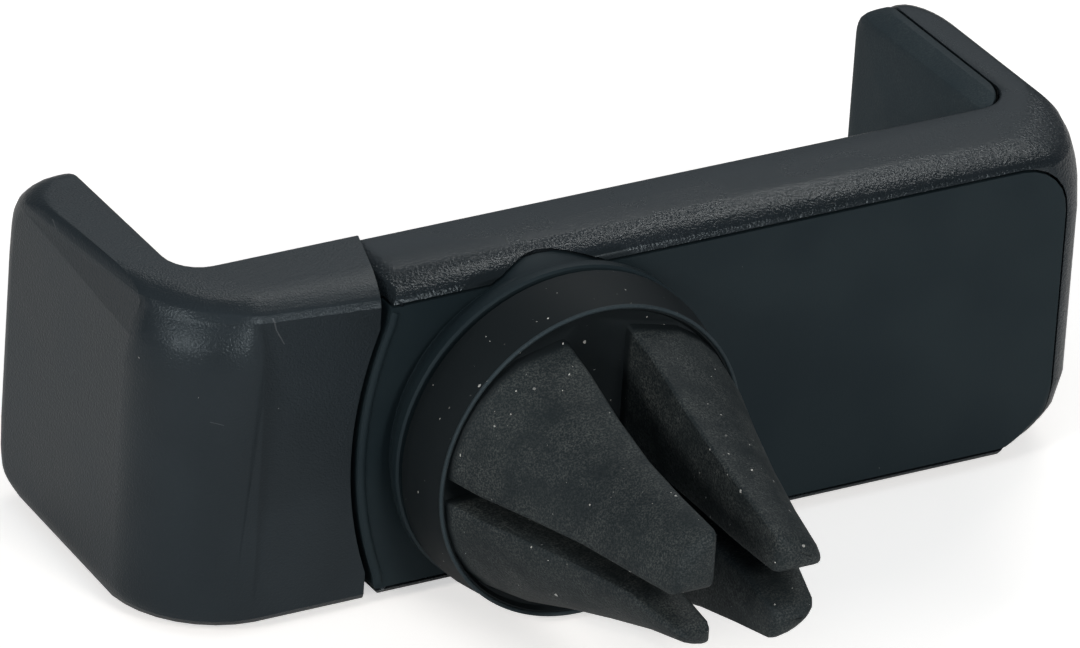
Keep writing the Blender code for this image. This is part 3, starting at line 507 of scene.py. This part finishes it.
def merged_copy(node):
    """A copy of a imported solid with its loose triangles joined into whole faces."""
    source = NODES[node]
    piece = bpy.data.objects.new(f"{node}_finished", source.data.copy())
    bpy.context.scene.collection.objects.link(piece)
    open_up(piece)
    bpy.ops.mesh.select_all(action="SELECT")
    bpy.ops.mesh.customdata_custom_splitnormals_clear()
    bpy.ops.mesh.remove_doubles(threshold=1e-6)
    bpy.ops.mesh.dissolve_limited(angle_limit=math.radians(0.5))
    close_up()
    return piece


def soften(piece, edge, angle=32, segments=2):
    """Rounds every edge that turns by more than the angle."""
    apply_modifier(piece, "BEVEL", width=edge, segments=segments, limit_method="ANGLE",
                   angle_limit=math.radians(angle), harden_normals=False)


def finish_node(node, material, edge=0.0, angle=32):
    """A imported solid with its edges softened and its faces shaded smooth."""
    piece = merged_copy(node)
    if edge:
        soften(piece, edge, angle)
    settle(piece, material, node, angle)
    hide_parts(node)


def ease(share):
    """From 0 to 1 with a level start and end."""
    return share * share * (3 - 2 * share)


def finish_jaw(material):
    """The sliding jaw: its upper rear corner turns over in a wide soft round before the shoulder proper."""
    piece = merged_copy("sliding_jaw")
    for vertex in piece.data.vertices:
        spot = (vertex.co - CLIP_AXIS) / MM
        over = max(0.0, min(spot.z, SHOULDER_START) - CORNER_START)
        fall = 0.5 * CORNER_FALL * over * over
        aside = max(0.0, 1 - max(0.0, spot.x - CORNER_X) / CORNER_REACH_X)
        back = max(0.0, 1 - max(0.0, spot.y - CORNER_Y) / CORNER_REACH_Y)
        inward = Vector((CORNER_X - min(spot.x, CORNER_X), CORNER_Y - min(spot.y, CORNER_Y), 0))
        outer = min(1.0, max(0.0, (inward.length - CORNER_INNER) / CORNER_BLEND))
        move = fall * (ease(aside) * ease(back)) * ease(outer)
        if move > 0.001:
            vertex.co += inward.normalized() * move * MM
    open_up(piece)
    bpy.ops.mesh.select_all(action="SELECT")
    bpy.ops.mesh.bisect(plane_co=at(JAW_END_X, 0, 0), plane_no=(0.952, -0.305, 0), use_fill=True,
                        clear_outer=True)
    close_up()
    soften(piece, 0.12 * MM)
    settle(piece, material, "sliding_jaw")
    apply_modifier(piece, "WEIGHTED_NORMAL", keep_sharp=True)
    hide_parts("sliding_jaw")


def finish_cover(material):
    """The rear cover, with rounder edges than the frame's and a flat face between them."""
    piece = merged_copy("rear_cover")
    soften(piece, 0.28 * MM, segments=4)
    settle(piece, material, "rear_cover")
    apply_modifier(piece, "WEIGHTED_NORMAL", keep_sharp=True)
    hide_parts("rear_cover")


def swept_rod(name, points, radius, steps, radii=None):
    """A round rod along a line of points, closed. radii are shares of the radius, one to a point."""
    curve = bpy.data.curves.new(name, "CURVE")
    curve.dimensions = "3D"
    curve.bevel_depth = radius
    curve.bevel_resolution = steps
    curve.use_fill_caps = True
    spline = curve.splines.new("POLY")
    spline.points.add(len(points) - 1)
    for index, (target, point) in enumerate(zip(spline.points, points)):
        target.co = (*point, 1)
        target.radius = radii[index] if radii else 1.0
    rod = bpy.data.objects.new(name, curve)
    bpy.context.scene.collection.objects.link(rod)
    choose(rod)
    bpy.ops.object.convert(target="MESH")
    rod = bpy.context.object
    open_up(rod)
    bpy.ops.mesh.select_all(action="SELECT")
    bpy.ops.mesh.remove_doubles(threshold=1e-6)
    bpy.ops.mesh.normals_make_consistent(inside=False)
    close_up()
    return rod


def edge_point(turn):
    """A point of the line where the body's rear meets its bulging left end, the way in, and the way out.

    turn goes from 0 at mid height to 1 where the rounded end begins, and on to 2 at the top of the rear
    shoulder. Less than 0 is below mid height.
    """
    side = 1 if turn > 0 else -1
    share = min(abs(turn), 1.0)
    z = share * END_HALF_HEIGHT
    x = END_X - END_BULGE * (1 - share * share)
    inward = Vector((1, 0, 0)).lerp(Vector((1, 0, -side * END_SLOPE)), share).normalized()
    y = 0.0
    out = Vector((0, -1, 0))
    if abs(turn) > 1:
        angle = math.radians(90 * (abs(turn) - 1))
        x = END_X + END_CORNER * (1 - math.cos(angle))
        z = END_HALF_HEIGHT + END_CORNER * math.sin(angle)
        inward = Vector((math.cos(angle), 0, -side * math.sin(angle)))
        rise = min(max((z - SHOULDER_START) / SHOULDER_HEIGHT, 0.0), 1.0)
        level = math.sqrt(1 - rise * rise)
        y = SHOULDER_DEPTH * (1 - level)
        if rise:
            out = Vector((0, -level / SHOULDER_DEPTH, side * rise / SHOULDER_HEIGHT)).normalized()
    return Vector((x, y, side * z)), inward, out


def end_lip(name, node, material, first, last, count):
    """The raised bead along the body's left end, on the cover or on the frame."""
    points, radii = [], []
    for i in range(count + 1):
        turn = first + (last - first) * i / count
        spot, inward, out = edge_point(turn)
        points.append(at(*(spot + inward * LIP_INSET - out * LIP_SUNK)))
        radii.append(min(1.0, max(0.15, (LIP_END - abs(turn)) / 0.25)))
    rod = swept_rod(name, points, LIP_RADIUS * MM, 3, radii)
    settle(rod, material, node, 60)


def tension_spring(name, side, node, material):
    """A close coil with a loop round the carriage's post and one round the body's."""
    height = SPRING_HEIGHT * side
    points = []

    def loop(post_x, begin):
        for i in range(LOOP_STEPS + 1):
            angle = math.radians(begin + 300 * i / LOOP_STEPS)
            points.append(Vector((post_x + LOOP_RADIUS * math.cos(angle), SPRING_DEPTH,
                                  height + LOOP_RADIUS * math.sin(angle))))

    loop(CARRIAGE_POST_X, 60)
    whole = COIL_TURNS * COIL_STEPS
    for i in range(whole + 1):
        angle = math.tau * i / COIL_STEPS
        points.append(Vector((COIL_START_X + COIL_LENGTH * i / whole,
                              SPRING_DEPTH + COIL_RADIUS * math.sin(angle),
                              height - COIL_RADIUS * math.cos(angle))))
    loop(BODY_POST_X, 240)
    rod = swept_rod(name, [at(*p) for p in points], WIRE_RADIUS * MM, 1)
    choose(rod)
    bpy.ops.object.shade_smooth()
    rod.data.materials.append(material)
    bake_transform(rod)
    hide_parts(node)


def ring_bead(name, node, material, radius, y, thickness):
    """A thin moulded bead round the clip's axis."""
    bpy.ops.object.select_all(action="DESELECT")
    bpy.ops.mesh.primitive_torus_add(location=at(0, y, 0), rotation=(math.pi / 2, 0, 0), major_segments=144,
                                     minor_segments=12, major_radius=radius * MM,
                                     minor_radius=thickness * MM)
    ring = bpy.context.object
    ring.name = name
    bpy.ops.object.transform_apply(location=True, rotation=True, scale=True)
    settle(ring, material, node, 80)


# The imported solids, the stage and the shared effects

for obj in list(bpy.data.objects):
    bpy.data.objects.remove(obj)
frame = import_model()
NODES = frame["nodes"]
BODY_OF = {}
for body, members in frame["record"]["behaviour"]["bodies"].items():
    for member in members:
        BODY_OF[member] = body

bpy.context.scene.view_settings.view_transform = "Standard"
build_floor()
build_lamps()
build_camera()

GRAIN = moulding_grain()
DUST = settled_dust()
MARKS = handling_marks()
SCRATCH = single_scratch()

# What each piece is made of

textured = black_moulding("textured_black", (0.007, 0.010, 0.012), (0.009, 0.012, 0.015), roughness=0.27,
                          specular=0.4, grain=5200.0, depth=0.00005, specks=(0.02, 0.1), zone=grained,
                          calm=1.0, peak_polish_and_glint=0.1)
smooth = black_moulding("smooth_black", (0.012, 0.020, 0.025), (0.015, 0.024, 0.029), roughness=0.42,
                        specular=0.15, grain=6500.0, depth=0.000004, specks=(0.01, 0.08))
satin = black_moulding("satin_black", (0.014, 0.019, 0.023), (0.017, 0.023, 0.028), roughness=0.33,
                       specular=0.3, grain=7000.0, depth=0.00003, specks=(0.02, 0.08), scratches=SCRATCHES)
rubber = black_moulding("clip_rubber", (0.009, 0.013, 0.015), (0.012, 0.017, 0.019), roughness=0.6,
                        specular=0.26, grain=5200.0, depth=0.00004, veil=0.45, specks=(0.42, 0.15),
                        lint=0.006, zone=on_petals, calm=0.55)
lining = black_moulding("pad_rubber", (0.021, 0.032, 0.039), (0.025, 0.038, 0.046), roughness=0.6,
                        specular=0.24, grain=6200.0, depth=0.00002, veil=0.14, specks=(0.12, 0.1), lint=0.004)
inner = black_moulding("inner_black", (0.012, 0.013, 0.015), (0.016, 0.017, 0.019), roughness=0.45,
                       specular=0.3, grain=3500.0, depth=0.00002)
wire = metal("spring_wire", (0.6, 0.6, 0.62), 0.3, (900, 9000, 9000))
plated = metal("plated_screws", (0.32, 0.32, 0.34), 0.32, (6000, 900, 6000))

# The finished pieces

finish_node("body_frame", textured, 0.12 * MM)
finish_cover(smooth)
end_lip("cover_end_lip", "rear_cover", smooth, -1.22, 1.22, 64)
end_lip("frame_end_lip_upper", "body_frame", textured, 1.4, 1.8, 16)
end_lip("frame_end_lip_lower", "body_frame", textured, -1.8, -1.4, 16)
finish_node("fixed_jaw_pad", lining, 0.1 * MM)
finish_jaw(satin)
finish_node("sliding_jaw_pad", lining, 0.2 * MM)
finish_node("jaw_front_plate", satin, 0.12 * MM)
finish_node("slide_carriage", inner, 0.1 * MM)
tension_spring("upper_spring_coil", 1, "tension_spring_upper", wire)
tension_spring("lower_spring_coil", -1, "tension_spring_lower", wire)
finish_node("clip_core", inner)
finish_node("clip_sleeve", rubber, 0.15 * MM)
ring_bead("drum_rim_bead", "clip_sleeve", lining, 11.5, -6.92, 0.15)
for node in ("wave_washer", "flat_washer", "swivel_screw", "jaw_screw_upper", "jaw_screw_lower"):
    finish_node(node, plated, 0.05 * MM)
for number in range(1, 5):
    finish_node(f"cover_screw_{number}", plated, 0.05 * MM)
